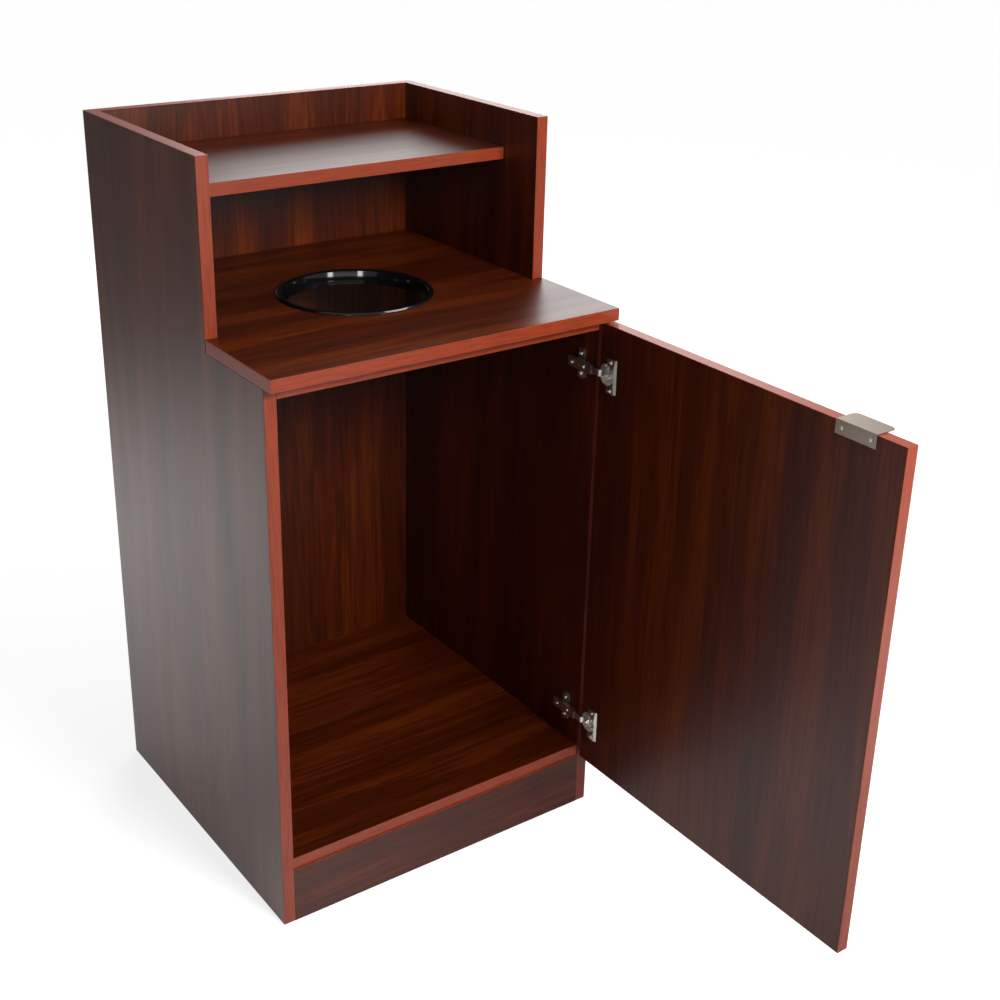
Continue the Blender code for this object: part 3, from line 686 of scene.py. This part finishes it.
class ENCLOSURE_OT_hinges(bpy.types.Operator):
    """Dress the cups, arms and mounting plates of the hinges, and their pins"""

    bl_idname = "enclosure.hinges"
    bl_label = "Hinges"

    def execute(self, context):
        width = context.scene.enclosure_pieces.metal_ease
        for hinge in HINGES:
            for part in HINGE_PARTS:
                eased(hinge + part, width, "nickel_plated_steel", "plated_steel", True)
            frame["nodes"][hinge + "pin"].data.materials.clear()
            frame["nodes"][hinge + "pin"].data.materials.append(finish_named("nickel_plated_steel"))
        return {"FINISHED"}


class ENCLOSURE_OT_screws(bpy.types.Operator):
    """Set the screws of the pull and the hinges, all of which face the open side"""

    bl_idname = "enclosure.screws"
    bl_label = "Screws"

    def execute(self, context):
        sizes = context.scene.enclosure_pieces
        tree = screw_tree()
        for seed, (name, (nodes, height, shank)) in enumerate(SCREW_SETS.items()):
            boxes = [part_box(node) for node in nodes]
            low, high = boxes[0]
            feet = [(a.x + height, (a.y + b.y) / 2, (a.z + b.z) / 2) for a, b in boxes]
            points = bpy.data.meshes.new(name + "_feet")
            points.from_pydata(feet, [], [])
            facing = points.attributes.new("facing", "FLOAT_VECTOR", "POINT")
            for spot in facing.data:
                spot.vector = (-1.0, 0.0, 0.0)
            screws = grown(name, points, tree, {
                "Head Radius": (high.z - low.z) / 2,
                "Head Height": height,
                "Shank Radius": shank,
                "Length": high.x - low.x - height,
                "Recess Width": sizes.recess_width,
                "Recess Depth": min(sizes.recess_depth, height * RECESS_LIMIT),
                "Sides": sizes.screw_sides,
                "Seed": seed,
                "Finish": finish_named("nickel_plated_steel"),
            })
            ride_for(screws, "plated_steel", *nodes)
        return {"FINISHED"}


class ENCLOSURE_OT_dowels(bpy.types.Operator):
    """Give the hidden dowels their beech"""

    bl_idname = "enclosure.dowels"
    bl_label = "Dowels"

    def execute(self, context):
        for name, node in frame["nodes"].items():
            if "_dowel_" in name:
                node.data.materials.clear()
                node.data.materials.append(finish_named("beech_dowel"))
        return {"FINISHED"}


class ENCLOSURE_OT_stage(bpy.types.Operator):
    """Lay the floor, set the lights and place the camera"""

    bl_idname = "enclosure.stage"
    bl_label = "Stage"

    def execute(self, context):
        scene = context.scene
        stage = scene.enclosure_stage
        scene.view_settings.view_transform = "Standard"
        lay_floor(stage)
        light_studio(scene, stage)
        place_camera(scene)
        return {"FINISHED"}


def lay_floor(stage):
    bm = bmesh.new()
    bmesh.ops.create_circle(bm, cap_ends=True, segments=FLOOR_SIDES, radius=FLOOR_RADIUS)
    mesh = bpy.data.meshes.new("paper_floor")
    bm.to_mesh(mesh)
    bm.free()
    floor = bpy.data.objects.new("paper_floor", mesh)
    bpy.context.scene.collection.objects.link(floor)
    # Matt studio paper, lifted a little for the camera so that only the shadow stands out from the white
    mat = empty_material("matt_studio_paper")
    tree = mat.node_tree
    path = add(tree, "ShaderNodeLightPath").outputs
    spot = object_space(tree)
    # Painted reflections: for glossy rays only the paper glows, a little everywhere and more in the pools,
    # with no lamp behind it
    mirrored = calc(tree, "MULTIPLY", path["Is Glossy Ray"], FLOOR_MIRRORED)
    for centre, reach, strength in PAINTED_REFLECTION_POOLS:
        away = add(tree, "ShaderNodeVectorMath", {"operation": "DISTANCE"}, {0: spot, 1: centre})
        pool = add(tree, "ShaderNodeMapRange", {"interpolation_type": "SMOOTHSTEP"},
                   {"Value": away.outputs["Value"], "From Max": reach, "To Min": strength, "To Max": 0.0})
        mirrored = calc(tree, "MULTIPLY_ADD", path["Is Glossy Ray"], pool.outputs[0], mirrored)
    paper = add(tree, "ShaderNodeBsdfDiffuse", None, {"Color": (*stage.floor, 1.0)})
    out = add(tree, "ShaderNodeVectorMath", {"operation": "LENGTH"}, {0: spot})
    haze = add(tree, "ShaderNodeMapRange", {"interpolation_type": "SMOOTHSTEP"},
               {"Value": out.outputs["Value"], "From Min": LIFT_START, "From Max": LIFT_END,
                "To Min": LIFT_NEAR, "To Max": LIFT_FAR})
    lift = calc(tree, "MULTIPLY_ADD", path["Is Camera Ray"], haze.outputs[0], mirrored)
    glow = add(tree, "ShaderNodeEmission", None, {"Color": WHITE, "Strength": lift})
    both = add(tree, "ShaderNodeAddShader", None, {0: paper.outputs[0], 1: glow.outputs[0]})
    add(tree, "ShaderNodeOutputMaterial", None, {"Surface": both.outputs[0]})
    mesh.materials.append(mat)


def light_studio(scene, stage):
    world = bpy.data.worlds.new("white_studio")
    world.use_nodes = True
    tree = world.node_tree
    tree.nodes.clear()
    path = add(tree, "ShaderNodeLightPath").outputs
    unseen = add(tree, "ShaderNodeMix", {"data_type": "FLOAT"},
                 {"Factor": path["Is Glossy Ray"], 2: stage.ambient, 3: stage.mirrored})
    level = add(tree, "ShaderNodeMix", {"data_type": "FLOAT"},
                {"Factor": path["Is Camera Ray"], 2: unseen.outputs[0], 3: 1.0})
    sky = add(tree, "ShaderNodeBackground", None, {"Color": WHITE, "Strength": level.outputs[0]})
    add(tree, "ShaderNodeOutputWorld", None, {"Surface": sky.outputs[0]})
    scene.world = world
    for name, spot, wide, tall, diffuse, glossy, power in ((*KEY_LAMP, stage.key), *LAMPS):
        box = bpy.data.lights.new(name, "AREA")
        box.shape = "RECTANGLE"
        box.energy = power
        box.size = wide
        box.size_y = tall
        lamp = bpy.data.objects.new(name, box)
        lamp.location = spot
        lamp.rotation_euler = (Vector(spot) - Vector(LAMP_TARGET)).to_track_quat("Z", "Y").to_euler()
        lamp.visible_camera = False
        lamp.visible_diffuse = diffuse
        lamp.visible_glossy = glossy
        scene.collection.objects.link(lamp)


def place_camera(scene):
    level = math.cos(CAMERA_RISE)
    back = Vector((math.sin(CAMERA_TURN) * level, -math.cos(CAMERA_TURN) * level, math.sin(CAMERA_RISE)))
    right = Vector((0.0, 0.0, 1.0)).cross(back).normalized()
    above = back.cross(right)
    roll = Matrix.Rotation(CAMERA_ROLL, 3, back)
    lens = bpy.data.cameras.new("photo_camera")
    lens.lens = CAMERA_LENS
    lens.shift_x, lens.shift_y = CAMERA_SHIFT
    camera = bpy.data.objects.new("photo_camera", lens)
    camera.matrix_world = Matrix.LocRotScale(
        Vector(CAMERA_SPOT), Matrix((roll @ right, roll @ above, back)).transposed(), None)
    scene.collection.objects.link(camera)
    scene.camera = camera


class ENCLOSURE_PT_panel(bpy.types.Panel):
    """Settings and steps of the enclosure"""

    bl_idname = "ENCLOSURE_PT_panel"
    bl_label = "Enclosure"
    bl_space_type = "VIEW_3D"
    bl_region_type = "UI"
    bl_category = "Enclosure"

    def draw(self, context):
        scene = context.scene
        for group in (scene.enclosure_finish, scene.enclosure_pieces, scene.enclosure_stage):
            for key in group.__annotations__:
                self.layout.prop(group, key)
        for step in STEPS:
            self.layout.operator(step.bl_idname)


STEPS = (ENCLOSURE_OT_boards, ENCLOSURE_OT_bands, ENCLOSURE_OT_drop_ring, ENCLOSURE_OT_pull,
         ENCLOSURE_OT_hinges, ENCLOSURE_OT_screws, ENCLOSURE_OT_dowels, ENCLOSURE_OT_stage)
CLASSES = (EnclosureFinish, EnclosurePieces, EnclosureStage, *STEPS, ENCLOSURE_PT_panel)


def register():
    for kind in CLASSES:
        bpy.utils.register_class(kind)
    bpy.types.Scene.enclosure_finish = PointerProperty(type=EnclosureFinish)
    bpy.types.Scene.enclosure_pieces = PointerProperty(type=EnclosurePieces)
    bpy.types.Scene.enclosure_stage = PointerProperty(type=EnclosureStage)


def unregister():
    del bpy.types.Scene.enclosure_stage
    del bpy.types.Scene.enclosure_pieces
    del bpy.types.Scene.enclosure_finish
    for kind in reversed(CLASSES):
        bpy.utils.unregister_class(kind)


def main():
    register()
    bpy.ops.enclosure.boards()
    bpy.ops.enclosure.bands()
    bpy.ops.enclosure.drop_ring()
    bpy.ops.enclosure.pull()
    bpy.ops.enclosure.hinges()
    bpy.ops.enclosure.screws()
    bpy.ops.enclosure.dowels()
    bpy.ops.enclosure.stage()


if __name__ == "__main__":
    main()
